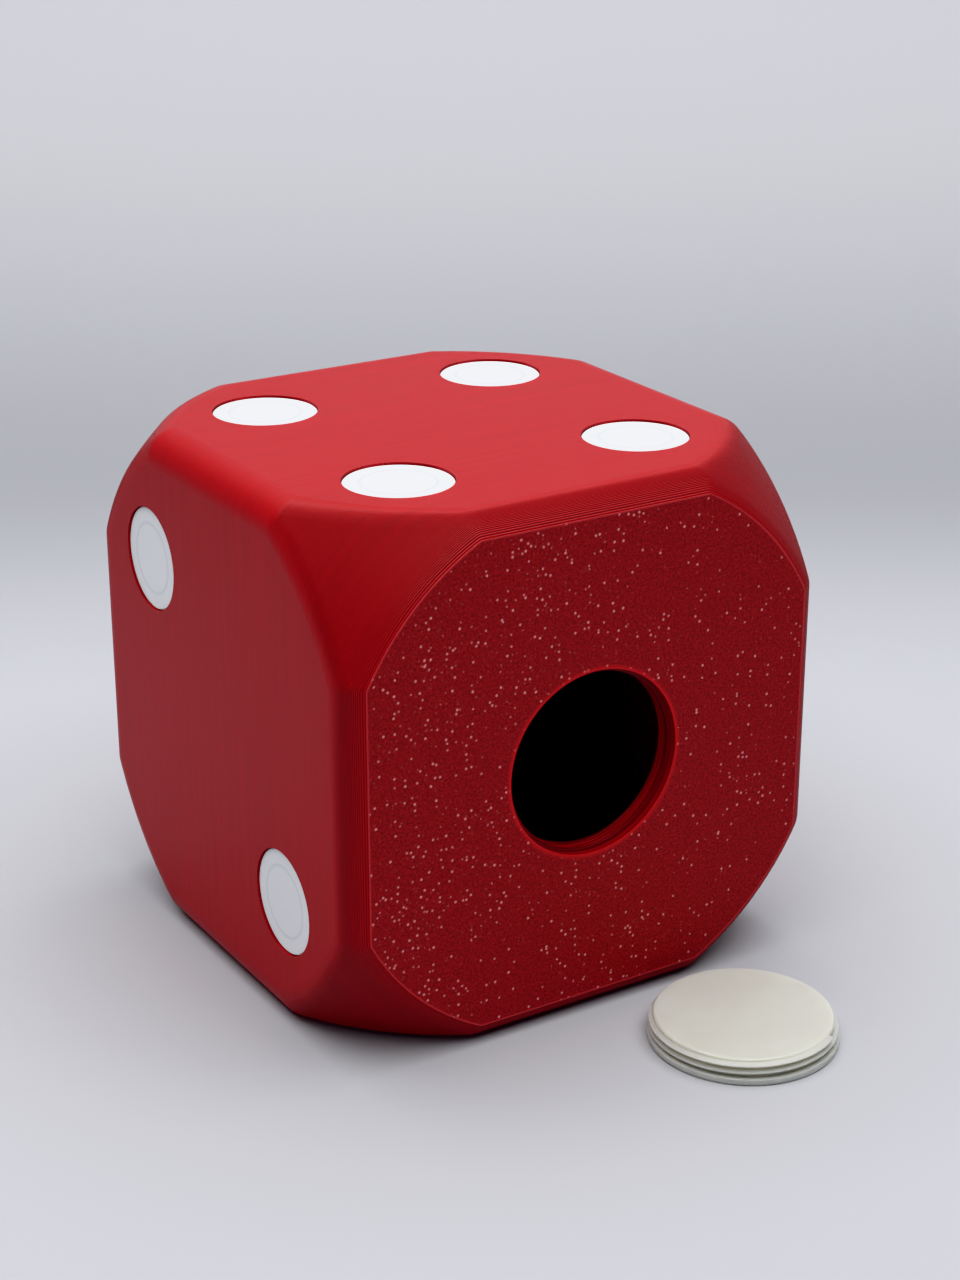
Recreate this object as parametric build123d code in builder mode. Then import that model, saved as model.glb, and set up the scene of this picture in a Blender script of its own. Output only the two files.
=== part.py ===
"""A large printed dice shell: a hollow die whose "one" pip is a screw cap.

The other twenty pips are separate white discs, each glued into its own pocket. The frame has
+Z up, with its origin at the middle of the face that the die stands on, and the mouth faces -Y.
The cap lies loose beside the die, inner end up.
"""

from build123d import *
from math import radians, sqrt, tan
import os

# The die
die_size = 100.0  # across any two opposite faces
corner_cut = 14.1  # taken off each corner by a sphere, along the diagonal
edge_radius = 6.0  # rounding between neighbouring faces
wall = 4.2  # shell thickness
bed_cut = 0.15  # how far the mouth's face is flattened into its rounding
first_layer = 0.2  # thickness of the first printed layer
first_layer_spread = 0.75  # how far that layer is squeezed out round the mouth's face

# Pips
pip_radius = 9.9
pip_spacing = 25.0  # from the middle of a face to its outer pips, along each side
pip_thickness = 2.0
pip_sink = 0.4  # how far a pip's face stands below the die's
pip_clearance = 0.1  # all round a pip, in its pocket
pip_chamfer = 0.2  # at a pip's visible edge

# Mouth and screw cap
mouth_radius = 17.6
band_height = 1.3  # the cap's smooth band, and the depth of the plain part of the mouth
band_clearance = 0.25  # all round the band, in the mouth
band_step = 0.25  # from the band in to the top of the thread
cap_height = 4.8  # more than the wall, so the cap's inner end stands a little way into the die
cap_chamfer = 0.25  # at both ends of the cap
cap_gap = 4.7  # from the die's front to the loose cap
cap_aside = 18.3  # from the middle of the die's front to the loose cap's middle, along X
cap_spin = -54.0  # degrees that the loose cap is turned about its own axis

# Thread, right-handed, with its depth and its flat top as shares of the pitch
thread_pitch = 1.35
depth_share = 0.6
crest_share = 0.15
flank_angle = 30.0  # degrees of each flank from square
thread_clearance = 0.15  # between ridge and groove, square to their surfaces
bore_clearance = 0.5  # between the cap's core and the bore
thread_root = 0.1  # how far the ridge runs on into the core, and the groove into the bore

# What fits what
half = die_size / 2
corner_sphere = half * sqrt(3) - corner_cut
pocket_radius = pip_radius + pip_clearance
pocket_depth = pip_sink + pip_thickness
band_radius = mouth_radius - band_clearance
thread_depth = depth_share * thread_pitch
thread_crest = crest_share * thread_pitch
thread_radius = band_radius - band_step
core_radius = thread_radius - thread_depth
bore_radius = core_radius + bore_clearance
groove_radius = thread_radius + thread_clearance
groove_crest = thread_crest + 2 * thread_clearance * tan(radians((90 - flank_angle) / 2))

# The faces by their number of pips, and the mouth's, each as a plane that looks outwards
middle = Plane.XY.offset(half)
faces = {
    "two": Plane((-half, 0, half), z_dir=(-1, 0, 0)),
    "three": Plane((0, 0, 0), z_dir=(0, 0, -1)),
    "four": Plane((0, 0, die_size), z_dir=(0, 0, 1)),
    "five": Plane((half, 0, half), z_dir=(1, 0, 0)),
    "six": Plane((0, half, half), z_dir=(0, 1, 0)),
}
mouth = Plane((0, -half, half), x_dir=(1, 0, 0), z_dir=(0, -1, 0))
inwards = Plane(mouth.origin, x_dir=(1, 0, 0), z_dir=(0, 1, 0))

# The words of a pip's place are steps from the middle of its face.
steps = {
    "left": Vector(-1, 0, 0),
    "right": Vector(1, 0, 0),
    "front": Vector(0, -1, 0),
    "rear": Vector(0, 1, 0),
    "lower": Vector(0, 0, -1),
    "upper": Vector(0, 0, 1),
    "middle": Vector(0, 0, 0),
}
places = {
    "two": ["rear_upper", "front_lower"],
    "three": ["rear_left", "middle", "front_right"],
    "four": ["front_left", "front_right", "rear_left", "rear_right"],
    "five": ["front_upper", "rear_upper", "middle", "front_lower", "rear_lower"],
    "six": ["left_upper", "left_middle", "left_lower", "right_upper", "right_middle", "right_lower"],
}


def pip_plane(number, place):
    """The die's surface at one pip, looking outwards."""
    face = faces[number]
    step = sum((steps[word] for word in place.split("_")), Vector(0, 0, 0))
    return Plane(face.origin + step * pip_spacing, z_dir=face.z_dir)


def helical_form(base_radius, tip_radius, tip_width, length):
    """A thread's section wound round +Z from z = 0, right-handed.

    Its flanks run on past base_radius by thread_root, so that they cross what carries them.
    """
    depth = tip_radius - base_radius
    root_width = tip_width + 2 * (depth + thread_root) * tan(radians(flank_angle))
    with BuildPart() as wound:
        with BuildLine():
            path = Helix(thread_pitch, length, base_radius)
        with BuildSketch(Plane(path @ 0, x_dir=(1, 0, 0), z_dir=path % 0)):
            with BuildLine():
                Polyline(
                    (-thread_root, -root_width / 2),
                    (depth, -tip_width / 2),
                    (depth, tip_width / 2),
                    (-thread_root, root_width / 2),
                    close=True,
                )
            make_face()
        sweep(path=path, is_frenet=True)
    return wound.part


# The inside of the die
with BuildPart() as hollow:
    with Locations(middle):
        Box(die_size - 2 * wall, die_size - 2 * wall, die_size - 2 * wall)
        Sphere(corner_sphere - wall, mode=Mode.INTERSECT)

# The thread's groove starts in the plain part of the mouth and runs out into the hollow.
groove = helical_form(bore_radius, groove_radius, groove_crest, wall - band_height + thread_pitch)

# The shell, printed in one piece with its mouth on the bed
bed_core = half - edge_radius
bed_core_radius = sqrt((corner_sphere - edge_radius) ** 2 - (bed_core + bed_cut) ** 2)
bed_reach = sqrt(2 * edge_radius * bed_cut - bed_cut**2)
with BuildPart() as shell:
    with Locations(middle.location * Location((0, -bed_cut / 2, 0))):
        Box(die_size, die_size + bed_cut, die_size)
    with Locations(middle):
        Sphere(corner_sphere, mode=Mode.INTERSECT)
    fillet(shell.edges(), radius=edge_radius)
    split(bisect_by=inwards, keep=Keep.TOP)
    with BuildSketch(inwards):
        Rectangle(2 * bed_core, 2 * bed_core)
        Circle(bed_core_radius, mode=Mode.INTERSECT)
        offset(amount=bed_reach + first_layer_spread, kind=Kind.ARC)
    extrude(amount=first_layer)
    add(hollow.part, mode=Mode.SUBTRACT)
    with Locations(mouth):
        CounterBoreHole(bore_radius, mouth_radius, band_height, depth=half)
    with Locations(inwards.offset(band_height - thread_pitch / 2)):
        add(groove, mode=Mode.SUBTRACT)
    for number in places:
        with Locations(*[pip_plane(number, place) for place in places[number]]):
            Hole(pocket_radius, depth=pocket_depth)
shell.part.label = "shell"

# The screw cap, outer face down
cap_bottom = Plane((cap_aside, -half - cap_gap - band_radius, 0)).rotated((0, 0, cap_spin))
ridge_half = thread_crest / 2 + thread_depth * tan(radians(flank_angle))
ridge_length = cap_height - cap_chamfer - ridge_half - band_height
ridge = helical_form(core_radius, thread_radius, thread_crest, ridge_length)
with BuildPart() as screw_cap:
    with BuildSketch(cap_bottom):
        Circle(band_radius)
    extrude(amount=band_height)
    with BuildSketch(cap_bottom):
        Circle(core_radius)
    extrude(amount=cap_height)
    ends = screw_cap.faces().sort_by(Axis.Z)
    chamfer(ends[0].edges() + ends[-1].edges(), length=cap_chamfer)
    with Locations(cap_bottom.offset(band_height)):
        add(ridge)
screw_cap.part.label = "screw_cap"

os.makedirs("parts", exist_ok=True)
export_step(shell.part, "parts/shell.step")
export_step(screw_cap.part, "parts/screw_cap.step")

# The pips, one node each
for number in places:
    for place in places[number]:
        with BuildPart() as pip:
            with BuildSketch(pip_plane(number, place).offset(-pocket_depth)):
                Circle(pip_radius)
            extrude(amount=pip_thickness)
            visible = pip.faces().sort_by(Axis((0, 0, 0), faces[number].z_dir))[-1]
            chamfer(visible.edges(), length=pip_chamfer)
        pip.part.label = f"pip_{number}_{place}"
        export_step(pip.part, f"parts/{pip.part.label}.step")

print("corner sphere", round(corner_sphere, 2), "thread", round(core_radius, 2), round(thread_radius, 2))
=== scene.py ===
from math import cos, pi, radians, sin

import bmesh
import bpy
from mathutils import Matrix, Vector


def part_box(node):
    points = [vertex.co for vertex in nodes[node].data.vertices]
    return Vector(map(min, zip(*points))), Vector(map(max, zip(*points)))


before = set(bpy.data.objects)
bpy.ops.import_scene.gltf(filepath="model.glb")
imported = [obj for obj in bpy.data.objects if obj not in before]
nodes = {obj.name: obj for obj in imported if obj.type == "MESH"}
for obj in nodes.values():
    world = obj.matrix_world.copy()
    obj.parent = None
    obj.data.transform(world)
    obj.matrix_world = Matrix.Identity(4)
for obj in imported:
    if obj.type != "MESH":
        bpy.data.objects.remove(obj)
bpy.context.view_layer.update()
mm = 0.001
plaIor = 1.46

shellLow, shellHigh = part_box("shell")
dieMiddle = (shellLow + shellHigh) / 2
halfDie = (shellHigh.x - shellLow.x) / 2
print("frame loaded,", len(nodes), "parts")


def linear(hexColour):
    # sRGB hex to the linear values that shaders use
    channels = [int(hexColour[i:i + 2], 16) / 255 for i in (1, 3, 5)]
    return [c / 12.92 if c <= 0.04045 else ((c + 0.055) / 1.055) ** 2.4 for c in channels] + [1.0]


def addNode(tree, kind, inputs=None, **settings):
    # one node with its settings; an input is a value or the socket that feeds it
    node = tree.nodes.new("ShaderNode" + kind)
    for name, value in settings.items():
        setattr(node, name, value)
    for name, value in (inputs or {}).items():
        if isinstance(value, bpy.types.NodeSocket):
            tree.links.new(value, node.inputs[name])
        else:
            node.inputs[name].default_value = value
    return node


def startMaterial(name):
    material = bpy.data.materials.new(name)
    material.use_nodes = True
    material.node_tree.nodes.clear()
    return material, material.node_tree


def finishMaterial(tree, shader):
    addNode(tree, "OutputMaterial", {"Surface": shader.outputs["BSDF"]})


def dress(objects, material):
    for piece in objects:
        piece.data.materials.clear()
        piece.data.materials.append(material)


# Camera, at the height and side from which the die shows its top, its mouth and its left

view = {
    "azimuth": radians(31.12),  # round to the left of straight in front
    "elevation": radians(22.39),
    "distance": 9.571,  # from the die's middle, in half dice
    "aimRight": 0.122,  # from the die's middle to the picture's, in half dice
    "aimUp": 0.121,
    "lens": 69.75,
}

camera = bpy.data.objects.new("camera", bpy.data.cameras.new("camera"))
bpy.context.scene.collection.objects.link(camera)
back = Vector((
    -sin(view["azimuth"]) * cos(view["elevation"]),
    -cos(view["azimuth"]) * cos(view["elevation"]),
    sin(view["elevation"]),
))
right = Vector((0, 0, 1)).cross(back).normalized()
up = back.cross(right)
camera.location = dieMiddle + back * view["distance"] * halfDie
aim = dieMiddle + (right * view["aimRight"] + up * view["aimUp"]) * halfDie
camera.rotation_euler = (aim - camera.location).to_track_quat("-Z", "Y").to_euler()
camera.data.lens = view["lens"]
camera.data.sensor_width = 36
camera.data.clip_start = 0.01
bpy.context.scene.camera = camera
print("camera placed")


# Table and backdrop: one sheet of pale card, bent up behind the die, with painted shade where it bends and
# painted light up the wall

card = {
    "near": "#ADAEB3",
    "bend": "#929398",  # painted shade: greyer where the sheet turns up
    # painted light: the upright part of the sheet is lighter
    "far": "#B4B4B9",
    "tones": (0.10, 0.28, 0.62),  # metres behind the die where those three tones are reached
    "roughness": 0.75,
    "front": 2.4,  # how far the sheet comes towards the camera, in metres
    "flat": 0.30,  # from the die to where the bend starts
    "radius": 0.45,  # of the bend
    "wall": 1.6,
    "width": 4.0,
}


def makeCard():
    away = Vector((-back.x, -back.y, 0)).normalized()
    steps = 24
    outline = [(-card["front"], 0.0), (card["flat"], 0.0)]
    for i in range(1, steps + 1):
        turn = pi / 2 * i / steps
        outline.append((card["flat"] + card["radius"] * sin(turn), card["radius"] * (1 - cos(turn))))
    outline.append((card["flat"] + card["radius"], card["radius"] + card["wall"]))
    bm = bmesh.new()
    rows = []
    for along, height in outline:
        spot = Vector((dieMiddle.x, dieMiddle.y, 0)) + away * along + Vector((0, 0, height))
        rows.append([bm.verts.new(spot + right * side * card["width"] / 2) for side in (-1, 1)])
    for near, far in zip(rows, rows[1:]):
        face = bm.faces.new((near[0], near[1], far[1], far[0]))
        face.smooth = True
    mesh = bpy.data.meshes.new("card_sweep")
    bm.to_mesh(mesh)
    bm.free()
    sweep = bpy.data.objects.new("card_sweep", mesh)
    bpy.context.scene.collection.objects.link(sweep)
    material, tree = startMaterial("matt card, painted shade and light")
    place = addNode(tree, "TexCoord")
    behind = addNode(tree, "VectorMath", {0: place.outputs["Object"], 1: away}, operation="DOT_PRODUCT")
    near, bend, far = card["tones"]
    turning = addNode(tree, "MapRange", {
        "Value": behind.outputs["Value"], "From Min": near, "From Max": bend,
    }, interpolation_type="SMOOTHSTEP")
    rising = addNode(tree, "MapRange", {
        "Value": behind.outputs["Value"], "From Min": bend, "From Max": far,
    }, interpolation_type="SMOOTHSTEP")
    # painted shade at the bend, then painted light up the wall
    low = addNode(tree, "Mix", {
        0: turning.outputs["Result"], 6: linear(card["near"]), 7: linear(card["bend"]),
    }, data_type="RGBA")
    tone = addNode(tree, "Mix", {
        0: rising.outputs["Result"], 6: low.outputs[2], 7: linear(card["far"]),
    }, data_type="RGBA")
    shader = addNode(tree, "BsdfPrincipled", {
        "Base Color": tone.outputs[2], "Roughness": card["roughness"], "Specular IOR Level": 0.2,
    })
    finishMaterial(tree, shader)
    dress([sweep], material)


makeCard()


# Soft light: a wide panel overhead, and a small weak one at the left

panels = [
    {"name": "panel_above", "place": (0.0, -0.05, 1.2), "size": 1.9, "power": 42.0},
    {"name": "panel_left", "place": (-0.40, -0.22, 0.12), "size": 0.25, "power": 0.12},
]
room = {"colour": "#D8DCE6", "strength": 0.09}

for panel in panels:
    lamp = bpy.data.objects.new(panel["name"], bpy.data.lights.new(panel["name"], "AREA"))
    bpy.context.scene.collection.objects.link(lamp)
    lamp.data.shape = "SQUARE"
    lamp.data.size = panel["size"]
    lamp.data.energy = panel["power"]
    lamp.location = panel["place"]
    lamp.rotation_euler = (Vector((0, 0, 0.04)) - lamp.location).to_track_quat("-Z", "Y").to_euler()

world = bpy.data.worlds.new("room")
bpy.context.scene.world = world
world.use_nodes = True
world.node_tree.nodes["Background"].inputs["Color"].default_value = linear(room["colour"])
world.node_tree.nodes["Background"].inputs["Strength"].default_value = room["strength"]
bpy.context.scene.view_settings.view_transform = "Khronos PBR Neutral"
print("stage and lights placed")


# Red PLA, printed mouth down on a textured plate: a dull grain with painted glints, bright specks, on the
# face that lay on the plate, and 0.2 mm layer steps that widen where the walls lean over the plate, with
# painted shade between them

redPla = {
    "base": "#A5171B",
    "streak": "#8E1418",  # cooler layers
    "streakAlong": 18,  # noise scale along the layers, per metre
    "streakAcross": 0.9 * mm,
    "valleyShade": "#560A0E",  # painted shade between two layers
    "plate": "#A22A2C",  # the face that lay on the plate
    "grainDark": "#751A1D",
    # painted glint: the colour of the bright specks where points of the grain catch the light
    "glintSpeck": "#E08E90",
    "rimHighlight": "#C22A2C",  # painted highlight on the squeezed bead round the mouth
    "roughness": 0.42,
    "plateRoughness": 0.6,
    "specular": 0.35,
    "layer": 0.2 * mm,  # layer height
    "layerDepth": 0.14 * mm,
    "layerShade": 0.8,  # how dark the painted shade in the valleys between layers is
    "grain": 0.45 * mm,  # plate texture; the real one is near 0.2 mm, too fine to show
    "grainDepth": 0.12 * mm,
    "speckCell": 1.0 * mm,
    "lipHighlight": "#C4494C",  # painted highlight on the thin squeezed edge round that face
    "rimWidth": 1.1 * mm,
    "mouthRadius": 17.6 * mm,
    "mouthDepth": 4.5 * mm,  # just past the wall, so the painted shade reaches nothing else in line with the mouth
    "mouthLine": 0.9 * mm,  # between the painted shade lines on the mouth's wall; real layers are too fine to show
    "faceHalf": 46.08 * mm,  # the flat face's outline, from its middle to its sides
    "faceRadius": 51.81 * mm,  # and to its round corners
    "lipWidth": 0.45 * mm,
}


def makeRedPla():
    material, tree = startMaterial("red PLA, printed on a textured plate")
    place = addNode(tree, "TexCoord")
    spot = addNode(tree, "SeparateXYZ", {"Vector": place.outputs["Object"]})
    facing = addNode(tree, "SeparateXYZ", {"Vector": place.outputs["Normal"]})
    plateLevel = shellLow.y + 0.05 * mm
    onPlate = addNode(tree, "Math", {0: spot.outputs["Y"], 1: plateLevel}, operation="LESS_THAN")

    # layer steps: rounded bead edges, one per layer, that show where the wall leans
    depth = addNode(tree, "Math", {0: spot.outputs["Y"], 1: pi / redPla["layer"]}, operation="MULTIPLY")
    wave = addNode(tree, "Math", {0: depth.outputs[0]}, operation="SINE")
    bead = addNode(tree, "Math", {0: wave.outputs[0]}, operation="ABSOLUTE")
    lean = addNode(tree, "Math", {0: facing.outputs["Y"]}, operation="ABSOLUTE")
    leaning = addNode(tree, "MapRange", {
        "Value": lean.outputs[0], "From Min": 0.06, "From Max": 0.5,
    }, interpolation_type="SMOOTHSTEP")
    notFlat = addNode(tree, "Math", {0: lean.outputs[0], 1: 0.995}, operation="LESS_THAN")
    stepShare = addNode(tree, "Math", {
        0: leaning.outputs["Result"], 1: notFlat.outputs[0],
    }, operation="MULTIPLY")
    steps = addNode(tree, "Math", {0: bead.outputs[0], 1: stepShare.outputs[0]}, operation="MULTIPLY")

    # streaks: each layer cools a little differently, so they run along the layers
    stretched = addNode(tree, "Mapping", {
        "Vector": place.outputs["Object"], "Scale": (redPla["streakAlong"], 1 / redPla["streakAcross"], redPla["streakAlong"]),
    })
    streaks = addNode(tree, "TexNoise", {
        "Vector": stretched.outputs[0], "Scale": 1.0, "Detail": 3.0, "Roughness": 0.7,
    })
    streakShare = addNode(tree, "MapRange", {
        "Value": streaks.outputs["Fac"], "From Min": 0.35, "From Max": 0.75, "To Max": 0.6,
    })
    streaked = addNode(tree, "Mix", {
        0: streakShare.outputs["Result"], 6: linear(redPla["base"]), 7: linear(redPla["streak"]),
    }, data_type="RGBA")
    # painted shade in the valleys between layers, where the wall leans
    valleyShade = addNode(tree, "MapRange", {
        "Value": bead.outputs[0], "From Min": 0.7, "From Max": 0.0, "To Max": redPla["layerShade"],
    })
    valleyShare = addNode(tree, "Math", {
        0: valleyShade.outputs["Result"], 1: stepShare.outputs[0],
    }, operation="MULTIPLY")
    layered = addNode(tree, "Mix", {
        0: valleyShare.outputs[0], 6: streaked.outputs[2], 7: linear(redPla["valleyShade"]),
    }, data_type="RGBA")
    mouthAxis = addNode(tree, "CombineXYZ", {"X": dieMiddle.x, "Z": dieMiddle.z, "Y": spot.outputs["Y"]})
    fromAxis = addNode(tree, "VectorMath", {
        0: place.outputs["Object"], 1: mouthAxis.outputs[0],
    }, operation="DISTANCE")

    # painted shade on the mouth's own wall: darkened all over, and darker in thin lines where layers lie
    # square to the view
    inCircle = addNode(tree, "Math", {
        0: fromAxis.outputs["Value"], 1: redPla["mouthRadius"] + 0.05 * mm,
    }, operation="LESS_THAN")
    inFront = addNode(tree, "Math", {
        0: spot.outputs["Y"], 1: shellLow.y + redPla["mouthDepth"],
    }, operation="LESS_THAN")
    inMouth = addNode(tree, "Math", {0: inCircle.outputs[0], 1: inFront.outputs[0]}, operation="MULTIPLY")
    ridges = addNode(tree, "Math", {0: spot.outputs["Y"], 1: pi / redPla["mouthLine"]}, operation="MULTIPLY")
    ridge = addNode(tree, "Math", {0: ridges.outputs[0]}, operation="SINE")
    ridgeEdge = addNode(tree, "Math", {0: ridge.outputs[0]}, operation="ABSOLUTE")
    ridgeShare = addNode(tree, "MapRange", {
        "Value": ridgeEdge.outputs[0], "From Min": 0.8, "From Max": 0.3, "To Min": 0.35, "To Max": 0.85,
    })
    mouthWallShade = addNode(tree, "Math", {
        0: ridgeShare.outputs["Result"], 1: inMouth.outputs[0],
    }, operation="MULTIPLY")
    sideColour = addNode(tree, "Mix", {
        0: mouthWallShade.outputs[0], 6: layered.outputs[2], 7: linear(redPla["valleyShade"]),
    }, data_type="RGBA")

    # plate texture: pits, and fewer painted glints, bright specks standing in for points of the grain that
    # catch the light
    grain = addNode(tree, "TexNoise", {
        "Vector": place.outputs["Object"], "Scale": 1 / redPla["grain"], "Detail": 2.0, "Roughness": 0.6,
    })
    grainShare = addNode(tree, "MapRange", {
        "Value": grain.outputs["Fac"], "From Min": 0.35, "From Max": 0.65,
    })
    plateColour = addNode(tree, "Mix", {
        0: grainShare.outputs["Result"], 6: linear(redPla["grainDark"]), 7: linear(redPla["plate"]),
    }, data_type="RGBA")
    # painted glints: bright specks, kept where the clouds and the left side make them likely
    points = addNode(tree, "TexVoronoi", {
        "Vector": place.outputs["Object"], "Scale": 1 / redPla["speckCell"],
    }, feature="F1")
    point = addNode(tree, "MapRange", {
        "Value": points.outputs["Distance"], "From Min": 0.38, "From Max": 0.14,
    }, interpolation_type="SMOOTHSTEP")
    pick = addNode(tree, "SeparateColor", {"Color": points.outputs["Color"]})
    clouds = addNode(tree, "TexNoise", {
        "Vector": place.outputs["Object"], "Scale": 1 / (14 * mm), "Detail": 1.0,
    })
    chance = addNode(tree, "MapRange", {
        "Value": clouds.outputs["Fac"], "From Min": 0.35, "From Max": 0.65, "To Min": 0.3, "To Max": 1.0,
    })
    # painted light: the left half, the side the light comes from, carries more of the glints
    litLeftShare = addNode(tree, "MapRange", {
        "Value": spot.outputs["X"], "From Min": halfDie, "From Max": -halfDie, "To Min": 0.35, "To Max": 1.0,
    })
    likely = addNode(tree, "Math", {
        0: chance.outputs["Result"], 1: litLeftShare.outputs["Result"],
    }, operation="MULTIPLY")
    kept = addNode(tree, "Math", {0: pick.outputs["Red"], 1: likely.outputs[0]}, operation="LESS_THAN")
    glintSpeck = addNode(tree, "Math", {0: point.outputs["Result"], 1: kept.outputs[0]}, operation="MULTIPLY")
    strength = addNode(tree, "Math", {0: glintSpeck.outputs[0], 1: pick.outputs["Green"]}, operation="MULTIPLY")
    specked = addNode(tree, "Mix", {
        0: strength.outputs[0], 6: plateColour.outputs[2], 7: linear(redPla["glintSpeck"]),
    }, data_type="RGBA")

    # painted highlight: the bead round the mouth is squeezed smooth, and painted brighter as if it caught the
    # light
    rimHighlight = addNode(tree, "MapRange", {
        "Value": fromAxis.outputs["Value"],
        "From Min": redPla["mouthRadius"] + redPla["rimWidth"],
        "From Max": redPla["mouthRadius"],
    }, interpolation_type="SMOOTHSTEP")
    rimmed = addNode(tree, "Mix", {
        0: rimHighlight.outputs["Result"], 6: specked.outputs[2], 7: linear(redPla["rimHighlight"]),
    }, data_type="RGBA")

    # the lip is painted brighter too, a painted highlight; it follows the face's outline: a square cut by a
    # circle
    fromMiddle = addNode(tree, "VectorMath", {0: place.outputs["Object"], 1: dieMiddle}, operation="SUBTRACT")
    sides = addNode(tree, "VectorMath", {0: fromMiddle.outputs[0]}, operation="ABSOLUTE")
    reach = addNode(tree, "SeparateXYZ", {"Vector": sides.outputs[0]})
    widest = addNode(tree, "Math", {0: reach.outputs["X"], 1: reach.outputs["Z"]}, operation="MAXIMUM")
    pastSquare = addNode(tree, "Math", {0: widest.outputs[0], 1: redPla["faceHalf"]}, operation="SUBTRACT")
    pastCircle = addNode(tree, "Math", {
        0: fromAxis.outputs["Value"], 1: redPla["faceRadius"],
    }, operation="SUBTRACT")
    pastFace = addNode(tree, "Math", {
        0: pastSquare.outputs[0], 1: pastCircle.outputs[0],
    }, operation="MAXIMUM")
    lipHighlight = addNode(tree, "MapRange", {
        "Value": pastFace.outputs[0], "From Min": -redPla["lipWidth"],
        "From Max": -0.3 * redPla["lipWidth"], "To Max": 0.8,
    }, interpolation_type="SMOOTHSTEP")
    edged = addNode(tree, "Mix", {
        0: lipHighlight.outputs["Result"], 6: rimmed.outputs[2], 7: linear(redPla["lipHighlight"]),
    }, data_type="RGBA")
    nearPlate = addNode(tree, "Math", {
        0: spot.outputs["Y"], 1: shellLow.y + redPla["layer"],
    }, operation="LESS_THAN")
    colour = addNode(tree, "Mix", {
        0: nearPlate.outputs[0], 6: sideColour.outputs[2], 7: edged.outputs[2],
    }, data_type="RGBA")

    roughness = addNode(tree, "MapRange", {
        "Value": onPlate.outputs[0], "To Min": redPla["roughness"], "To Max": redPla["plateRoughness"],
    })
    grainHeight = addNode(tree, "Math", {
        0: grain.outputs["Fac"], 1: onPlate.outputs[0],
    }, operation="MULTIPLY")
    layerBump = addNode(tree, "Bump", {
        "Height": steps.outputs[0], "Distance": redPla["layerDepth"], "Strength": 1.0,
    })
    grainBump = addNode(tree, "Bump", {
        "Height": grainHeight.outputs[0], "Distance": redPla["grainDepth"], "Strength": 1.0,
        "Normal": layerBump.outputs["Normal"],
    })
    shader = addNode(tree, "BsdfPrincipled", {
        "Base Color": colour.outputs[2], "Roughness": roughness.outputs["Result"],
        "Normal": grainBump.outputs["Normal"], "IOR": plaIor, "Specular IOR Level": redPla["specular"],
    })
    finishMaterial(tree, shader)
    return material


# White PLA discs, filled in rings: a fine turned look and a step where two rings meet

whitePla = {
    "base": "#E8EAED",
    "ring": "#D3D8DF",
    "roughness": 0.38,
    "line": 0.42 * mm,  # one printed line
    "lineDepth": 0.02 * mm,
    "seamRadius": 6.8 * mm,  # where the filled rings start over
    "spacing": 25 * mm,  # the pips stand on this grid round the die's middle
}


def makeWhitePla():
    material, tree = startMaterial("white PLA, printed in rings")
    place = addNode(tree, "TexCoord")
    # the nearest point of the grid is the pip's own axis point, at its depth in the die
    local = addNode(tree, "VectorMath", {0: place.outputs["Object"], 1: dieMiddle}, operation="SUBTRACT")
    step = whitePla["spacing"]
    shifted = addNode(tree, "VectorMath", {0: local.outputs[0], 1: (step / 2,) * 3}, operation="ADD")
    snapped = addNode(tree, "VectorMath", {0: shifted.outputs[0], 1: (step,) * 3}, operation="SNAP")
    fromGrid = addNode(tree, "VectorMath", {0: local.outputs[0], 1: snapped.outputs[0]}, operation="DISTANCE")
    radius = fromGrid.outputs["Value"]
    turns = addNode(tree, "Math", {0: radius, 1: pi / whitePla["line"]}, operation="MULTIPLY")
    wave = addNode(tree, "Math", {0: turns.outputs[0]}, operation="SINE")
    line = addNode(tree, "Math", {0: wave.outputs[0]}, operation="ABSOLUTE")
    fromSeam = addNode(tree, "Math", {0: radius, 1: whitePla["seamRadius"]}, operation="SUBTRACT")
    seamGap = addNode(tree, "Math", {0: fromSeam.outputs[0]}, operation="ABSOLUTE")
    seam = addNode(tree, "MapRange", {
        "Value": seamGap.outputs[0], "From Min": 0.5 * mm, "From Max": 0.0, "To Max": 0.8,
    })
    tone = addNode(tree, "Mix", {
        0: seam.outputs["Result"], 6: linear(whitePla["base"]), 7: linear(whitePla["ring"]),
    }, data_type="RGBA")
    bump = addNode(tree, "Bump", {
        "Height": line.outputs[0], "Distance": whitePla["lineDepth"], "Strength": 0.6,
    })
    shader = addNode(tree, "BsdfPrincipled", {
        "Base Color": tone.outputs[2], "Roughness": whitePla["roughness"],
        "Normal": bump.outputs["Normal"], "IOR": plaIor,
    })
    finishMaterial(tree, shader)
    return material


# Natural PLA, uncoloured: milky and slightly green, with light carried inside it

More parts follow.
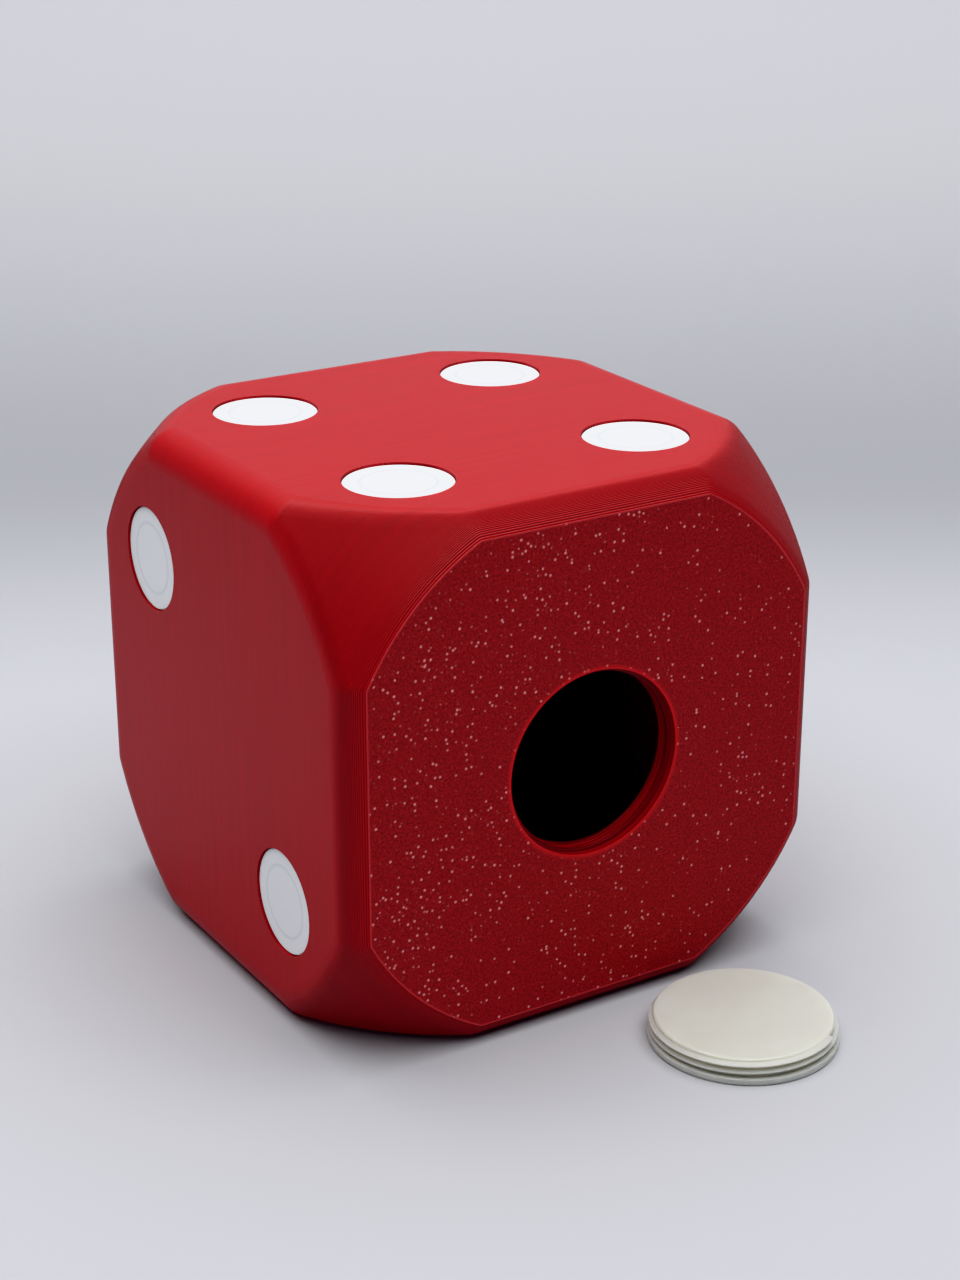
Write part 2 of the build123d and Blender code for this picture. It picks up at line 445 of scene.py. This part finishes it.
naturalPla = {
    "base": "#B9B8B0",
    "edge": "#C3C5BD",
    "roughness": 0.4,
    "layer": 0.2 * mm,
    "layerDepth": 0.02 * mm,
    "carry": 5.0 * mm,  # how far light travels inside
}


def makeNaturalPla():
    material, tree = startMaterial("natural PLA, printed")
    place = addNode(tree, "TexCoord")
    spot = addNode(tree, "SeparateXYZ", {"Vector": place.outputs["Object"]})
    facing = addNode(tree, "SeparateXYZ", {"Vector": place.outputs["Normal"]})
    depth = addNode(tree, "Math", {0: spot.outputs["Z"], 1: pi / naturalPla["layer"]}, operation="MULTIPLY")
    wave = addNode(tree, "Math", {0: depth.outputs[0]}, operation="SINE")
    bead = addNode(tree, "Math", {0: wave.outputs[0]}, operation="ABSOLUTE")
    flat = addNode(tree, "Math", {0: facing.outputs["Z"]}, operation="ABSOLUTE")
    side = addNode(tree, "MapRange", {"Value": flat.outputs[0], "From Min": 0.95, "From Max": 0.6})
    steps = addNode(tree, "Math", {0: bead.outputs[0], 1: side.outputs["Result"]}, operation="MULTIPLY")
    cloud = addNode(tree, "TexNoise", {
        "Vector": place.outputs["Object"], "Scale": 1 / (9 * mm), "Detail": 2.0,
    })
    tone = addNode(tree, "Mix", {
        0: cloud.outputs["Fac"], 6: linear(naturalPla["base"]), 7: linear(naturalPla["edge"]),
    }, data_type="RGBA")
    bump = addNode(tree, "Bump", {
        "Height": steps.outputs[0], "Distance": naturalPla["layerDepth"], "Strength": 0.8,
    })
    shader = addNode(tree, "BsdfPrincipled", {
        "Base Color": tone.outputs[2], "Roughness": naturalPla["roughness"], "Normal": bump.outputs["Normal"],
        "IOR": plaIor, "Subsurface Weight": 0.85, "Subsurface Scale": naturalPla["carry"],
        "Subsurface Radius": (1.0, 0.9, 0.7),
    })
    finishMaterial(tree, shader)
    return material


redMaterial = makeRedPla()
whiteMaterial = makeWhitePla()
naturalMaterial = makeNaturalPla()
dress([nodes["shell"]], redMaterial)
dress([piece for name, piece in nodes.items() if name.startswith("pip_")], whiteMaterial)
dress([nodes["screw_cap"]], naturalMaterial)
print("materials made")
